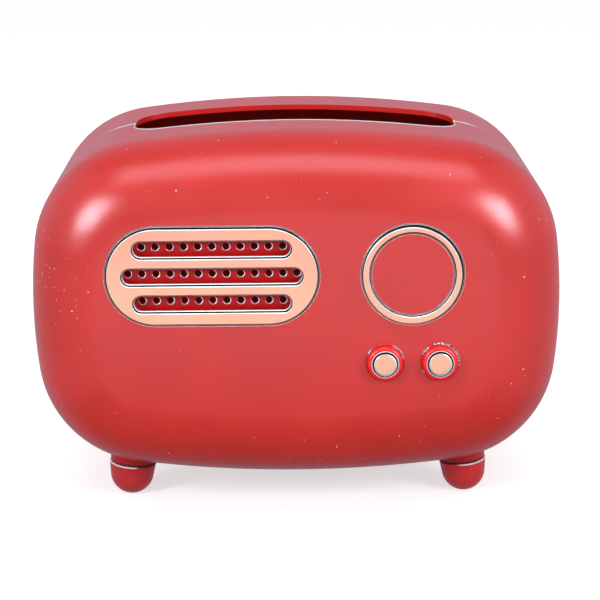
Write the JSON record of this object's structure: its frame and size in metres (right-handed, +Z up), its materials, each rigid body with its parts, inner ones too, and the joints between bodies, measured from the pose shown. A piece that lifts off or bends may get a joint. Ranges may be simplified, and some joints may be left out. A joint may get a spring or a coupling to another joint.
{
  "type": "radio-shaped money box",
  "caption": "Radio-shaped slot-top box with a grille plate, dial ring, turning knobs and domed feet; its rear half pulls off.",
  "frame": {"origin": "centre of the bounding box's footprint, on the floor under the feet", "axes": "+Z up, the front with the grille and knobs faces -Y, +X to the right of someone who looks at the front"},
  "size_m": [0.193, 0.1336, 0.1404],
  "materials": {
    "red_plastic": "satin red moulded plastic with a fine fleck of dust",
    "rose_gold": "satin rose-gold plated plastic with bright bevels",
    "steel": "plain zinc-plated screws and washers"
  },
  "bodies": {
    "front_case": {"front_shell": "red_plastic", "grille_plate": "rose_gold", "dial_ring": "rose_gold", "foot_front_left": "red_plastic", "foot_front_right": "red_plastic", "foot_screw_front_left": "steel", "foot_screw_front_right": "steel"},
    "rear_case": {"rear_shell": "red_plastic", "foot_rear_left": "red_plastic", "foot_rear_right": "red_plastic", "foot_screw_rear_left": "steel", "foot_screw_rear_right": "steel"},
    "left_knob": {"knob_left": "red_plastic", "knob_cap_left": "rose_gold", "knob_washer_left": "steel", "knob_screw_left": "steel"},
    "right_knob": {"knob_right": "red_plastic", "knob_cap_right": "rose_gold", "knob_washer_right": "steel", "knob_screw_right": "steel"}
  },
  "joints": [
    {"name": "rear_case_pull", "type": "slide", "parent": "front_case", "child": "rear_case", "axis": [0, 1, 0], "range_m": [0, 0.1]},
    {"name": "left_knob_turn", "type": "hinge", "parent": "front_case", "child": "left_knob", "pos_m": [0.0312, -0.06, 0.06058], "axis": [0, 1, 0], "continuous": true},
    {"name": "right_knob_turn", "type": "hinge", "parent": "front_case", "child": "right_knob", "pos_m": [0.0508, -0.06, 0.06058], "axis": [0, 1, 0], "continuous": true}
  ]
}
